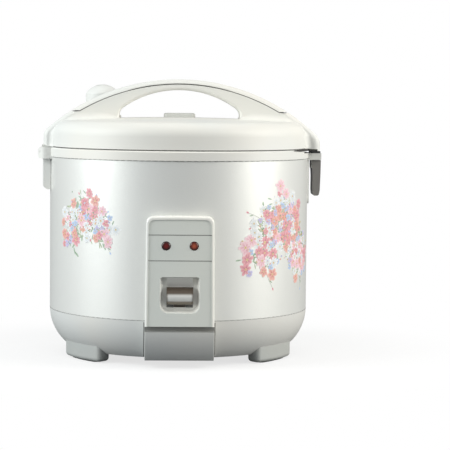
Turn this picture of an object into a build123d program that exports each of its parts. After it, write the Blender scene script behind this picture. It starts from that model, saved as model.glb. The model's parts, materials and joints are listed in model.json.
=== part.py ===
from build123d import *
import math
import os

# Rice cooker, millimetres. The origin is on the table under the body axis, +Z is up and the control
# panel faces -Y. The lid hinge is on the -X side and the latch on the +X side.

# Overall reach
side_reach = 148.5
front_reach = 143.0

# Painted shell, base bowl and rim
body_radius = 135.0
shell_wall = 1.5
shell_low = 48.0
shell_high = 206.0
bowl_low = 9.0
bowl_wall = 2.5
bowl_curve = 48.0
bowl_opening = 80.0
rim_radius = 136.0
rim_wall = 3.0
rim_top = 215.3
rim_flange_low = 212.3

# Bottom plate and feet
plate_radius = 86.0
plate_sheet = 1.5
plate_screw_radius = 83.0
foot_outer = 124.0
foot_inner = 107.0
foot_span = 31.0
foot_rise = 19.0
foot_corner = 5.0
foot_round = 4.0
foot_angles = {"front_right": -34.5, "front_left": -145.5, "rear_right": 34.5, "rear_left": 145.5}
pad_height = 1.0
pad_radius = 115.5
pad_breadth = 8.0
pad_span = 18.0

# Inner casing and pot
casing_radius = 118.0
casing_wall = 1.4
casing_low = 57.0
casing_floor = 1.2
casing_flange_radius = 130.0
pot_radius = 110.0
pot_wall = 1.5
pot_low = 72.0
pot_corner = 25.0
pot_flange_radius = 117.5
pot_seat = 213.5

# Heater, sensor and magnet
heater_radius = 84.0
heater_low = 61.0
heater_bore = 21.0
heater_screw_circle = 70.0
sensor_radius = 18.5
sensor_top = 71.6
sensor_can_radius = 9.0
sensor_can_low = 60.0
sensor_plate_top = 59.4
magnet_radius = 9.0
magnet_low = 48.0
magnet_high = 52.0
magnet_stem_radius = 4.0

# Cook lever and its bracket
lever_pivot_y = -62.0
lever_pivot_z = 42.0
lever_pin_radius = 2.0
running_gap = 0.05
knob_half_width = 13.0
knob_low = 64.7
knob_high = 82.1
knob_back = -134.6
knob_front = -142.5
bracket_half_width = 22.0
bracket_sheet = 1.5
bracket_low = 24.0

# Control panel
panel_low = 7.6
panel_high = 152.3
panel_low_half = 34.5
panel_top_half = 33.2
panel_crown = 0.5
panel_corner = 7.0
panel_wall = 2.4
panel_floor = -137.5
apron_high = 38.9
groove_floor = -138.0
face_low = 43.7
face_high = 149.0
face_front = -142.2
face_back = -140.7
face_lines = (108.5, 133.8)
lamp_x = 13.7
lamp_z = 123.2
lamp_radius = 4.15
recess_half = 19.5
recess_low = 56.8
recess_high = 92.7
recess_floor = -134.0
recess_inset = 2.2
recess_slope = 15.0
recess_low_corner = 8.0
recess_top_corner = 3.0
apron_curve = 52.0
apron_wall = 3.0
apron_lip_back = -112.0

# Lid, handle and hinge
lid_low = 215.7
lid_radius = 134.0
lid_wall = 2.5
lid_shoulder_radius = 118.0
lid_shoulder = 243.4
lid_crown = 247.0
handle_top = 286.7
handle_arc = 208.0
handle_half_depth = 17.0
ear_half_depth = 27.0
ear_left = 141.0
ear_right = 146.5
ear_right_low = 213.5
grip_half = 63.0
grip_low = 240.0
grip_top = 275.5
grip_arc = 102.5
cap_strip = 5.2
cap_end = 253.0
hinge_x = -142.1
hinge_z = 210.8
knuckle_radius = 4.6
knuckle_half = 13.8
knuckle_sweep = 7.9
post_out = 30.0
post_left = -146.5
post_low = 203.4
post_round = 3.0
post_corner = 9.0
post_sweep = 7.4
hinge_pin_radius = 2.5
hinge_pin_half = 27.0
swing_gap = 0.4
cap_groove = 0.9
cap_groove_depth = 1.6
seat_half = 104.0
grip_corner = 9.0
ear_left_round = 10.0
ear_right_round = 14.0
ear_edge_round = 4.0

# Latch
latch_x = 142.5
latch_z = 199.5
latch_pin_radius = 1.5
latch_pin_half = 10.5
latch_half = 12.4
latch_top = 203.4
latch_low = 166.3
latch_plate_front = 136.0
hook_half = 6.0
hook_back = 142.0
hook_front = 143.7
hook_top = 219.5
nose_half = 16.5
nose_low = 204.0
nose_high = 211.0
cheek_inner = 6.6
cheek_outer = 9.0
cheek_back = 138.5
cheek_front = 145.0
cheek_low = 195.0
seal_height = 0.3

# Steam vent, lid lining and dew collector
vent_x = -82.0
vent_y = 48.0
vent_radius = 10.0
vent_boss_top = 248.3
steam_cap_radius = 18.0
steam_cap_top = 281.0
steam_cap_dome = 21.7
steam_cap_wall = 3.0
lining_low = 216.0
lining_middle = 217.4
lining_sheet = 2.0
lid_screw_circle = 124.5
lid_screw_top = 226.0
collector_low = 171.5
collector_high = 202.9
collector_radius = 142.6
collector_half = 24.0
collector_wall = 1.0

# Power inlet
inlet_half = 24.0
inlet_low = 58.0
inlet_high = 96.0
socket_half = 16.5
socket_low = 66.0
socket_high = 88.0
socket_back = 127.0
pin_spread = 6.5


def save(piece, label):
    """Label a finished piece and write it under its own name."""
    piece.label = label
    export_step(piece, f"parts/{label}.step")


def block(x, y, z, mode=Mode.ADD):
    """A box between a low and a high limit on each axis."""
    limits = (x, y, z)
    with Locations(tuple((low + high) / 2 for low, high in limits)):
        Box(*(high - low for low, high in limits), mode=mode)


def rod(radius, limits, along, x=0.0, y=0.0, z=0.0, mode=Mode.ADD):
    """A round bar between two limits along one axis."""
    middle = (limits[0] + limits[1]) / 2
    turned = {"X": (0, 90, 0), "Y": (90, 0, 0), "Z": (0, 0, 0)}[along]
    place = {"X": (middle, y, z), "Y": (x, middle, z), "Z": (x, y, middle)}[along]
    with Locations(Location(place, turned)):
        Cylinder(radius, limits[1] - limits[0], mode=mode)


def disc(outer, inner, low, high):
    """A flat ring, or a plain disc where the inner radius is zero."""
    with BuildPart() as piece:
        rod(outer, (low, high), "Z")
        if inner:
            rod(inner, (low, high), "Z", mode=Mode.SUBTRACT)
    return piece.part


def turned_solid(points):
    """A solid of revolution about the body axis from corner points of radius and height."""
    with BuildPart() as piece:
        with BuildSketch(Plane.XZ):
            with BuildLine():
                Polyline(*points, close=True)
            make_face()
        revolve(axis=Axis.Z)
    return piece.part


# Base bowl: the lower edge is one large quarter round that stops at the floor of the bowl
bowl_centre = (body_radius - bowl_curve, shell_low)
bowl_drop = math.degrees(math.asin((shell_low - bowl_low) / bowl_curve))
inner_curve = bowl_curve - bowl_wall
inner_drop = math.degrees(math.asin((shell_low - bowl_low - bowl_wall) / inner_curve))

with BuildPart() as base_bowl:
    with BuildSketch(Plane.XZ):
        with BuildLine():
            outside = CenterArc(bowl_centre, bowl_curve, -bowl_drop, bowl_drop)
            inside = CenterArc(bowl_centre, inner_curve, -inner_drop, inner_drop)
            Line(outside @ 1, inside @ 1)
            Polyline(inside @ 0, (bowl_opening, bowl_low + bowl_wall), (bowl_opening, bowl_low), outside @ 0)
        make_face()
    revolve(axis=Axis.Z)
    with PolarLocations(plate_screw_radius, 4, start_angle=90):
        Cylinder(1.6, 4 * bowl_low, mode=Mode.SUBTRACT)
save(base_bowl.part, "base_bowl")

# The space that the body fills, used to fit the panel and the inlet to its outside
with BuildPart() as body_space:
    with BuildSketch(Plane.XZ):
        with BuildLine():
            outside = CenterArc(bowl_centre, bowl_curve, -bowl_drop, bowl_drop)
            Polyline(outside @ 1, (body_radius, shell_high), (0, shell_high), (0, bowl_low), outside @ 0)
        make_face()
    revolve(axis=Axis.Z)

# Painted shell with windows for the panel, the inlet and the collector's snap tab
with BuildPart() as outer_shell:
    rod(body_radius, (shell_low, shell_high), "Z")
    rod(body_radius - shell_wall, (shell_low, shell_high), "Z", mode=Mode.SUBTRACT)
    block((-23.5, 23.5), (-150, 0), (shell_low, 134), Mode.SUBTRACT)
    block((-19.5, 19.5), (0, 150), (62.5, 91.5), Mode.SUBTRACT)
    block((-150, 0), (-6.6, 6.6), (185.4, 189.6), Mode.SUBTRACT)
save(outer_shell.part, "outer_shell")

# Bottom plate with a ring of cooling slots
with BuildPart() as bottom_plate:
    rod(plate_radius, (bowl_low - plate_sheet, bowl_low), "Z")
    with PolarLocations(plate_screw_radius, 4, start_angle=90):
        Cylinder(1.6, 4 * bowl_low, mode=Mode.SUBTRACT)
    with PolarLocations(48, 12):
        Box(26, 5, 4 * bowl_low, mode=Mode.SUBTRACT)
save(bottom_plate.part, "bottom_plate")

with BuildPart() as base_screws:
    with PolarLocations(plate_screw_radius, 4, start_angle=90):
        with Locations((0, 0, bowl_low - plate_sheet - 0.75)):
            Cylinder(2.9, 1.5)
        with Locations((0, 0, bowl_low)):
            Cylinder(1.6, 2 * plate_sheet)
save(base_screws.part, "base_screws")

# Four arc feet that run up into the curve of the bowl, each with a rubber pad under it
for place, middle in foot_angles.items():
    with BuildPart() as foot:
        with BuildSketch(Plane.XY.offset(pad_height)) as sole:
            with BuildLine():
                outer = CenterArc((0, 0), foot_outer, middle - foot_span / 2, foot_span)
                inner = CenterArc((0, 0), foot_inner, middle - foot_span / 2, foot_span)
                Line(outer @ 0, inner @ 0)
                Line(outer @ 1, inner @ 1)
            make_face()
            fillet(sole.vertices(), foot_corner)
        extrude(amount=foot_rise)
        fillet(foot.edges().group_by(Axis.Z)[0], foot_round)
        add(body_space.part, mode=Mode.SUBTRACT)
    save(foot.part, f"foot_{place}")

with BuildPart() as foot_pads:
    with BuildSketch():
        for middle in foot_angles.values():
            SlotArc(CenterArc((0, 0), pad_radius, middle - pad_span / 2, pad_span), pad_breadth)
    extrude(amount=pad_height)
save(foot_pads.part, "foot_pads")

# Upper rim: a flanged ring with two hinge posts, a latch nose and cheeks for the latch pin
rim_ring = turned_solid([
    (rim_radius - rim_wall, shell_high),
    (rim_radius, shell_high),
    (rim_radius, rim_top - 1.2),
    (rim_radius - 1.2, rim_top),
    (pot_flange_radius + 1.2, rim_top),
    (pot_flange_radius + 1.2, pot_seat),
    (pot_radius + 2.5, pot_seat),
    (pot_radius + 2.5, rim_flange_low),
    (rim_radius - rim_wall, rim_flange_low),
])
knuckle_space = (-knuckle_half - swing_gap, knuckle_half + swing_gap)
with BuildPart() as rim_fittings:
    with BuildSketch(Plane.XZ) as post:
        with BuildLine():
            Polyline((post_left, post_low), (-casing_flange_radius, post_low),
                     (-casing_flange_radius, rim_top),
                     (post_left, rim_top), close=True)
        make_face()
        fillet(post.vertices().group_by(Axis.X)[0], post_round)
    extrude(amount=post_out, both=True)
    with BuildSketch() as post_plan:
        with BuildLine():
            Polyline((post_left, -post_out), (0, -post_out), (0, post_out), (post_left, post_out), close=True)
        make_face()
        fillet(post_plan.vertices().group_by(Axis.X)[0], post_corner)
    extrude(amount=2 * rim_top, mode=Mode.INTERSECT)
    block((post_left, hinge_x), knuckle_space, (post_low, rim_top), Mode.SUBTRACT)
    for side in (-1, 1):
        cheek = sorted((side * cheek_inner, side * cheek_outer))
        block((cheek_back, cheek_front), cheek, (cheek_low, nose_high))
    block((casing_flange_radius, side_reach), (-nose_half, nose_half), (nose_low, nose_high))
    rod(body_radius, (0, shell_high), "Z", mode=Mode.SUBTRACT)
    rod(rim_radius - rim_wall, (0, rim_top), "Z", mode=Mode.SUBTRACT)
with BuildPart() as ear_gap:
    block((100, 160), (-45, 45), (nose_high + 0.3, rim_top + 1))
    rod(casing_flange_radius, (0, rim_top + 1), "Z", mode=Mode.SUBTRACT)
with BuildPart() as upper_rim:
    add(rim_ring)
    add(rim_fittings.part)
    rod(hinge_pin_radius, (-hinge_pin_half, hinge_pin_half), "Y", x=hinge_x, z=hinge_z, mode=Mode.SUBTRACT)
    rod(knuckle_sweep, knuckle_space, "Y", x=hinge_x, z=hinge_z, mode=Mode.SUBTRACT)
    hook_slot = (-hook_half - 0.5, hook_half + 0.5)
    block((cheek_back, hook_front + 3.3), hook_slot, (nose_low - 1, nose_high + 1), Mode.SUBTRACT)
    rod(latch_pin_radius, (-nose_half, nose_half), "Y", x=latch_x, z=latch_z, mode=Mode.SUBTRACT)
    add(ear_gap.part, mode=Mode.SUBTRACT)
save(upper_rim.part, "upper_rim")

with BuildPart() as hinge_pin:
    rod(hinge_pin_radius, (-hinge_pin_half, hinge_pin_half), "Y", x=hinge_x, z=hinge_z)
save(hinge_pin.part, "hinge_pin")

# Rim seal: a thin dark ring that the lid closes on, with two buffers on the latch nose
with BuildPart() as rim_seal:
    add(disc(lid_radius - 1, casing_flange_radius, rim_top, rim_top + seal_height))
    add(ear_gap.part, mode=Mode.SUBTRACT)
    for side in (-1, 1):
        buffer = sorted((side * (cheek_outer + 1), side * (nose_half - 0.5)))
        block((138, side_reach - 1), buffer, (nose_high, ear_right_low - swing_gap))
save(rim_seal.part, "rim_seal")

# Inner casing: a can with a flange that hangs under the rim
with BuildPart() as inner_casing:
    add(turned_solid([
        (0, casing_low),
        (casing_radius, casing_low),
        (casing_radius, rim_flange_low - casing_wall),
        (casing_flange_radius, rim_flange_low - casing_wall),
        (casing_flange_radius, rim_flange_low),
        (casing_radius - casing_wall, rim_flange_low),
        (casing_radius - casing_wall, casing_low + casing_floor),
        (0, casing_low + casing_floor),
    ]))
    rod(24, (casing_low, casing_low + casing_floor), "Z", mode=Mode.SUBTRACT)
    for side in (-40, 40):
        block((side - 5, side + 5), (31, 39), (casing_low - 1, casing_low + 2), Mode.SUBTRACT)
    with PolarLocations(heater_screw_circle, 3, start_angle=90):
        Cylinder(2, 4 * casing_low, mode=Mode.SUBTRACT)
save(inner_casing.part, "inner_casing")

# Cooking pot with a rounded bottom corner and a rolled flange
with BuildPart() as inner_pot:
    with BuildSketch(Plane.XZ):
        with BuildLine():
            corner = (pot_radius - pot_corner, pot_low + pot_corner)
            outside = CenterArc(corner, pot_corner, -90, 90)
            inside = CenterArc(corner, pot_corner - pot_wall, -90, 90)
            Polyline(outside @ 1, (pot_radius, pot_seat), (pot_flange_radius, pot_seat),
                     (pot_flange_radius, pot_seat + 1.4), (pot_radius - pot_wall, pot_seat + 1.4), inside @ 1)
            Polyline(inside @ 0, (0, pot_low + pot_wall), (0, pot_low), outside @ 0)
        make_face()
    revolve(axis=Axis.Z)
save(inner_pot.part, "inner_pot")

# Cast heater plate on three supports
with BuildPart() as heater_plate:
    add(disc(heater_radius, heater_bore, heater_low, pot_low))
    with PolarLocations(heater_screw_circle, 3, start_angle=90):
        with Locations((0, 0, heater_low)):
            Cylinder(2, 10, mode=Mode.SUBTRACT)
    fillet(heater_plate.edges().filter_by(GeomType.CIRCLE).sort_by(SortBy.RADIUS)[-2:], 2)
save(heater_plate.part, "heater_plate")

with BuildPart() as heater_supports:
    with PolarLocations(heater_screw_circle, 3, start_angle=90):
        with Locations((0, 0, (casing_low + casing_floor + heater_low) / 2)):
            Cylinder(5, heater_low - casing_low - casing_floor)
            Cylinder(2, heater_low, mode=Mode.SUBTRACT)
save(heater_supports.part, "heater_supports")

with BuildPart() as heater_screws:
    with PolarLocations(heater_screw_circle, 3, start_angle=90):
        with Locations((0, 0, casing_low - 1.25)):
            Cylinder(3.8, 2.5)
        with Locations((0, 0, (casing_low + heater_low + 5) / 2)):
            Cylinder(2, heater_low + 5 - casing_low)
save(heater_screws.part, "heater_screws")

with BuildPart() as heater_terminals:
    for side in (-40, 40):
        block((side - 3, side + 3), (34.4, 35.6), (45, heater_low))
save(heater_terminals.part, "heater_terminals")

# Keep-warm band round the casing, open at the rear
with BuildPart() as warm_band:
    add(disc(casing_radius + 1.5, casing_radius, 95, 125))
    block((-10, 10), (100, 140), (90, 130), Mode.SUBTRACT)
save(warm_band.part, "warm_band")

with BuildPart() as thermal_fuse:
    rod(3.5, (-14, 14), "X", y=62, z=52.5)
    block((-6, 6), (60.5, 63.5), (52.5, casing_low))
save(thermal_fuse.part, "thermal_fuse")

# Temperature sensor: a sprung cap under the pot, on a plate over the casing floor
save(disc(30, 11, casing_low + casing_floor, sensor_plate_top), "sensor_plate")

with BuildPart() as sensor_cap:
    rod(sensor_radius, (sensor_top - 3.1, sensor_top), "Z")
    rod(sensor_can_radius, (sensor_can_low, sensor_top - 3.1), "Z")
save(sensor_cap.part, "sensor_cap")

save(disc(12.6, 11.2, sensor_plate_top, sensor_top - 3.4), "sensor_spring")

with BuildPart() as magnet_plunger:
    rod(magnet_radius, (magnet_low, magnet_high), "Z")
    rod(magnet_stem_radius, (bracket_low - 4, magnet_low), "Z")
save(magnet_plunger.part, "magnet_plunger")

# Switch bracket: a U of sheet metal under the casing floor
with BuildPart() as switch_bracket:
    run = (-105, 25)
    for side in (-1, 1):
        wall = sorted((side * bracket_half_width, side * (bracket_half_width + bracket_sheet)))
        flange = sorted((side * bracket_half_width, side * 34))
        block(wall, run, (bracket_low, casing_low))
        block(flange, run, (casing_low - bracket_sheet, casing_low))
    block((-bracket_half_width, bracket_half_width), run, (bracket_low, bracket_low + bracket_sheet))
    rod(magnet_stem_radius + 0.4, (0, casing_low - 20), "Z", mode=Mode.SUBTRACT)
    rod(lever_pin_radius, (-40, 40), "X", y=lever_pivot_y, z=lever_pivot_z, mode=Mode.SUBTRACT)
save(switch_bracket.part, "switch_bracket")

with BuildPart() as lever_pin:
    rod(lever_pin_radius, (-26, 26), "X", y=lever_pivot_y, z=lever_pivot_z)
save(lever_pin.part, "lever_pin")

with BuildPart() as lever_spring:
    rod(3.6, (14.6, bracket_half_width), "X", y=lever_pivot_y, z=lever_pivot_z)
    rod(lever_pin_radius, (14, 24), "X", y=lever_pivot_y, z=lever_pivot_z, mode=Mode.SUBTRACT)
save(lever_spring.part, "lever_spring")

with BuildPart() as microswitch:
    block((-8, 8), (-101, -79), (bracket_low + bracket_sheet, 34))
    block((-2, 2), (-92, -88), (34, 35.2))
save(microswitch.part, "microswitch")

# Cook lever: a half-round knob, a leg that drops between shell and casing, and a bar to the pivot
with BuildPart() as cook_lever:
    with BuildSketch(Plane.YZ):
        with BuildLine():
            round_front = ThreePointArc((knob_back, knob_low), (knob_front, (knob_low + knob_high) / 2),
                                        (knob_back, knob_high))
            Line(round_front @ 1, round_front @ 0)
        make_face()
    extrude(amount=knob_half_width, both=True)
    block((-5, 5), (knob_back, -123), (69, 78))
    block((-7, 7), (-128.5, -122.5), (38, 78))
    block((-7, 7), (-128.5, -50), (38, 43))
    rod(6, (-20, 14), "X", y=lever_pivot_y, z=lever_pivot_z)
    rod(lever_pin_radius + running_gap, (-30, 30), "X", y=lever_pivot_y, z=lever_pivot_z, mode=Mode.SUBTRACT)
save(cook_lever.part, "cook_lever")

# Switch arm: a forked strip on the bar that reaches under the magnet
with BuildPart() as switch_arm:
    block((-9, 9), (-55.5, 9), (43, 45.5))
    block((-5, 5), (-6, 10), (42, 46), Mode.SUBTRACT)
save(switch_arm.part, "switch_arm")


def panel_outline(y, inset, low, high, crown=0.0):
    """Front outline of a control panel plate, which narrows a little upwards, on the plane at y."""
    lean = (panel_low_half - panel_top_half) / (panel_high - panel_low)
    low_half = panel_low_half - lean * (low - panel_low) - inset
    top_half = panel_low_half - lean * (high - panel_low) - inset
    with BuildSketch(Plane.XZ.offset(-y)) as outline:
        with BuildLine():
            shoulder = high - crown
            sides = Polyline((-top_half, shoulder), (-low_half, low), (low_half, low), (top_half, shoulder))
            if crown:
                ThreePointArc(sides @ 1, (0, high), sides @ 0)
            else:
                Line(sides @ 1, sides @ 0)
        make_face()
        if crown:
            fillet(outline.vertices().group_by(Axis.Y)[-1], panel_corner - inset / 2)
    return outline.sketch


def recess_outline(y, grow):
    """Front outline of the lever recess, with large lower corners, on the plane at y."""
    with BuildSketch(Plane.XZ.offset(-y)) as outline:
        with Locations((0, (recess_low + recess_high) / 2)):
            Rectangle(2 * (recess_half + grow), recess_high - recess_low + 2 * grow)
        fillet(outline.vertices().group_by(Axis.Y)[0], recess_low_corner + grow)
        fillet(outline.vertices().group_by(Axis.Y)[-1], recess_top_corner + grow)
    return outline.sketch


frame_plate = panel_outline(0, 0, apron_high, panel_high, panel_crown)
frame_hollow = panel_outline(0, panel_wall, apron_high + panel_wall, panel_high - panel_wall, panel_crown)
face_plate = panel_outline(face_back, panel_wall, face_low, face_high, panel_crown)
apron_plate = panel_outline(0, 0, panel_low, apron_high)
apron_hollow = panel_outline(0, panel_wall, panel_low + panel_wall, apron_high - panel_wall)
pocket_back = recess_floor + 2
pocket_block = recess_outline(pocket_back, 2)
pocket_hollow = recess_outline(recess_floor, -recess_inset)
pocket_depth = recess_floor + front_reach
lamp_places = (-lamp_x, lamp_x)

# Panel frame: the raised border, the lever pocket with its sloped hood, and posts for the lamp board
with BuildPart() as panel_frame:
    extrude(frame_plate, amount=front_reach)
    fillet(panel_frame.faces().sort_by(Axis.Y)[0].edges(), 2)
    add(body_space.part, mode=Mode.SUBTRACT)
    extrude(frame_hollow, amount=-panel_floor, mode=Mode.SUBTRACT)
    extrude(pocket_block, amount=pocket_back - face_back)
    extrude(face_plate, amount=face_back + front_reach + 1, mode=Mode.SUBTRACT)
    extrude(pocket_hollow, amount=pocket_depth, taper=-recess_slope, mode=Mode.SUBTRACT)
    block((-6, 6), (-front_reach, -120), (62, 79.5), Mode.SUBTRACT)
    block((-40, 40), (-front_reach, groove_floor), (apron_high, face_low), Mode.SUBTRACT)
    with BuildSketch(Plane.YZ):
        with BuildLine():
            Polyline((recess_floor, 83), (face_back, recess_high), (recess_floor, recess_high), close=True)
        make_face()
    extrude(amount=knob_half_width, both=True)
    for side in lamp_places:
        rod(lamp_radius + 0.4, (-front_reach, -130), "Y", x=side, z=lamp_z, mode=Mode.SUBTRACT)
        rod(2, (panel_floor, -129.5), "Y", x=side * 1.5, z=lamp_z - 4.5)
save(panel_frame.part, "panel_frame")

with BuildPart() as panel_face:
    extrude(face_plate, amount=face_back - face_front)
    extrude(pocket_hollow, amount=pocket_depth, taper=-recess_slope, mode=Mode.SUBTRACT)
    for side in lamp_places:
        rod(lamp_radius + 0.4, (-front_reach, -130), "Y", x=side, z=lamp_z, mode=Mode.SUBTRACT)
    for line in face_lines:
        block((-40, 40), (face_front, face_front + 0.4), (line - 0.4, line + 0.4), Mode.SUBTRACT)
save(panel_face.part, "panel_face")

def behind_apron(radius):
    """All that lies behind the rounded front of the apron, which runs parallel to the base bowl."""
    with BuildPart() as room:
        with BuildSketch(Plane.YZ):
            with BuildLine():
                front = CenterArc((apron_curve - front_reach, shell_low), radius, 180, 60)
                Polyline(front @ 1, (0, 0), (0, shell_low), front @ 0)
            make_face()
        extrude(amount=panel_low_half + 1, both=True)
    return room.part


# Apron: the lower cover under the panel, which curves back with the bowl
with BuildPart() as apron_room:
    extrude(apron_hollow, amount=front_reach)
    add(behind_apron(apron_curve - apron_wall), mode=Mode.INTERSECT)

with BuildPart() as panel_apron:
    extrude(apron_plate, amount=front_reach)
    add(behind_apron(apron_curve), mode=Mode.INTERSECT)
    fillet(panel_apron.faces().sort_by(Axis.Y)[0].edges(), 0.8)
    add(body_space.part, mode=Mode.SUBTRACT)
    add(apron_room.part, mode=Mode.SUBTRACT)
    block((-40, 40), (apron_lip_back, 0), (0, bowl_low), Mode.SUBTRACT)
save(panel_apron.part, "panel_apron")

# Lamps: a flanged lens in front of a small bulb on the lamp board
for lamp, side in zip(("cook", "warm"), lamp_places):
    with BuildPart() as lens:
        rod(lamp_radius, (-front_reach + 0.1, panel_floor), "Y", x=side, z=lamp_z)
        fillet(lens.edges().group_by(Axis.Y)[0], 1.5)
        rod(lamp_radius + 1.2, (panel_floor, panel_floor + 1), "Y", x=side, z=lamp_z)
    save(lens.part, f"lamp_lens_{lamp}")

with BuildPart() as lamp_bulbs:
    for side in lamp_places:
        rod(2.6, (panel_floor + 1, -129.5), "Y", x=side, z=lamp_z)
save(lamp_bulbs.part, "lamp_bulbs")

with BuildPart() as lamp_board:
    block((-22.5, 22.5), (-129.5, -128), (lamp_z - 7, lamp_z + 7))
save(lamp_board.part, "lamp_board")

# Latch: backing plate, pivot pin, return spring and the paddle with its hook
with BuildPart() as latch_plate:
    block((casing_flange_radius, latch_plate_front), (-15, 15), (158, nose_low))
    fillet(latch_plate.edges().filter_by(Axis.X).group_by(Axis.Z)[0], 5)
    rod(body_radius, (0, shell_high), "Z", mode=Mode.SUBTRACT)
save(latch_plate.part, "latch_plate")

with BuildPart() as latch_pin:
    rod(latch_pin_radius, (-latch_pin_half, latch_pin_half), "Y", x=latch_x, z=latch_z)
save(latch_pin.part, "latch_pin")

with BuildPart() as latch_spring:
    rod(2.9, (-4, 4), "Y", x=latch_x, z=latch_z)
    rod(latch_pin_radius, (-5, 5), "Y", x=latch_x, z=latch_z, mode=Mode.SUBTRACT)
save(latch_spring.part, "latch_spring")

with BuildPart() as latch_lever:
    with BuildSketch(Plane.XZ) as paddle:
        with BuildLine():
            Polyline((139, latch_top), (side_reach, latch_top), (148.3, 190), (147.7, 172),
                     (146.6, latch_low), (140.4, latch_low), (139.8, 172), (139.9, 186), close=True)
        make_face()
        fillet(paddle.vertices().group_by(Axis.Y)[0], 2.4)
    extrude(amount=latch_half, both=True)
    for side in (-1, 1):
        cheek_slot = sorted((side * (cheek_inner - 0.3), side * (cheek_outer + 0.3)))
        block((cheek_back, cheek_front + 1.1), cheek_slot, (cheek_low - 1.5, latch_top), Mode.SUBTRACT)
    block((hook_back, hook_front), (-hook_half, hook_half), (latch_top - 1, hook_top))
    with BuildSketch(Plane.XZ):
        with BuildLine():
            Polyline((hook_back, 217), (hook_back - 0.7, 217), (hook_back, hook_top), close=True)
        make_face()
    extrude(amount=hook_half, both=True)
    pin_hole = (-latch_pin_half, latch_pin_half)
    rod(latch_pin_radius + running_gap, pin_hole, "Y", x=latch_x, z=latch_z, mode=Mode.SUBTRACT)
    rod(3.4, (-4.6, 4.6), "Y", x=latch_x, z=latch_z, mode=Mode.SUBTRACT)
save(latch_lever.part, "latch_lever")

# Power inlet at the rear: a housing with a socket, two pins and the wires to the heater
with BuildPart() as inlet_housing:
    block((-inlet_half, inlet_half), (100, front_reach), (inlet_low, inlet_high))
    fillet(inlet_housing.edges().filter_by(Axis.Y), 5)
    fillet(inlet_housing.faces().sort_by(Axis.Y)[-1].edges(), 2)
    add(body_space.part, mode=Mode.SUBTRACT)
    block((-socket_half - 2.5, socket_half + 2.5), (socket_back - 3, 138), (socket_low - 3, socket_high + 3))
    block((-socket_half, socket_half), (socket_back, front_reach), (socket_low, socket_high), Mode.SUBTRACT)
    for side in (-pin_spread, pin_spread):
        rod(2, (120, 130), "Y", x=side, z=77, mode=Mode.SUBTRACT)
save(inlet_housing.part, "inlet_housing")

with BuildPart() as inlet_pins:
    for side in (-pin_spread, pin_spread):
        rod(2, (121, 139), "Y", x=side, z=77)
save(inlet_pins.part, "inlet_pins")

with BuildPart() as supply_wires:
    for side in (-1, 1):
        with BuildLine() as route:
            FilletPolyline((side * pin_spread, 122.5, 75), (side * pin_spread, 122.5, 36),
                           (side * 40, 80, 33),
                           (side * 40, 35, 33), (side * 40, 35, 45), radius=5)
        with BuildSketch(Plane((side * pin_spread, 122.5, 75), z_dir=(0, 0, -1))):
            Circle(1.4)
        sweep(path=route.line)
save(supply_wires.part, "supply_wires")


def dome(inset, low):
    """The lid's dome, or its hollow where it is set in from the outside."""
    crown_arc = (lid_shoulder_radius ** 2) / (2 * (lid_crown - lid_shoulder))
    half_way = lid_shoulder_radius / 2
    half_drop = half_way ** 2 / (2 * crown_arc)
    with BuildPart() as piece:
        with BuildSketch(Plane.XZ):
            with BuildLine():
                crown = ThreePointArc((0, lid_crown - inset), (half_way, lid_crown - half_drop - inset),
                                      (lid_shoulder_radius, lid_shoulder - inset))
                bend = (128.8 - 0.75 * inset, 239.4 - 0.65 * inset)
                side = ThreePointArc(crown @ 1, bend, (133.2 - inset, 229.5))
                Polyline(side @ 1, (lid_radius - inset, low), (0, low), crown @ 0)
            make_face()
        revolve(axis=Axis.Z)
    return piece.part


def crest(x):
    """Height of the handle's top arc at a distance from the middle."""
    return handle_top - handle_arc + math.sqrt(handle_arc ** 2 - x ** 2)


def plan_arc(ends, side, inset):
    """Three points of the handle's front or rear edge seen from above."""
    start, stop = ends
    ear = side * (ear_half_depth - inset)
    return (start, ear), (0, side * (handle_half_depth - inset)), (stop, ear)


def around_grip(point):
    """True on the front and rear edges of the hand gap."""
    return abs(point.X) < grip_half + 1 and grip_low - 1 < point.Z < grip_top + 1 and abs(point.Y) > 5


# Handle arch with its two ears, drawn from the front and trimmed from above to widen at the ears
with BuildPart() as arch:
    with BuildSketch(Plane.XZ) as outline:
        with BuildLine():
            left_end = (-ear_left, crest(ear_left))
            right_end = (ear_right, crest(ear_right))
            top = ThreePointArc(left_end, (0, handle_top), right_end)
            Polyline(top @ 1, (ear_right, ear_right_low), (131.5, ear_right_low), (131.5, lid_low),
                     (-ear_left, lid_low), top @ 0)
        make_face()
        fillet(outline.vertices().sort_by_distance(left_end)[0], ear_left_round)
        fillet(outline.vertices().sort_by_distance(right_end)[0], ear_right_round)
        with BuildLine():
            spring = grip_top - grip_arc + math.sqrt(grip_arc ** 2 - grip_half ** 2)
            under = ThreePointArc((-grip_half, spring), (0, grip_top), (grip_half, spring))
            Polyline(under @ 1, (grip_half, grip_low), (-grip_half, grip_low), under @ 0)
        make_face(mode=Mode.SUBTRACT)
        corners = outline.vertices().filter_by_position(Axis.X, -grip_half - 1, grip_half + 1)
        fillet(corners.filter_by_position(Axis.Y, lid_crown, handle_top), grip_corner)
    extrude(amount=2 * ear_half_depth, both=True)
    with BuildSketch():
        with BuildLine():
            ends = (-side_reach, side_reach)
            front = ThreePointArc(*plan_arc(ends, -1, 0))
            back = ThreePointArc(*plan_arc(reversed(ends), 1, 0))
            Line(front @ 1, back @ 0)
            Line(back @ 1, front @ 0)
        make_face()
    extrude(amount=2 * handle_top, mode=Mode.INTERSECT)
    fillet(arch.edges().filter_by(lambda edge: edge.length > 200 and edge.center().Z > 260), 6)
    fillet(arch.edges().filter_by(Axis.Z).filter_by(lambda edge: abs(edge.center().X) > 100), ear_edge_round)
    fillet(arch.edges().filter_by(lambda edge: around_grip(edge.center())), 3)

# The cap strip is the top of the arch, above a seam that runs along under its crest


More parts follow.
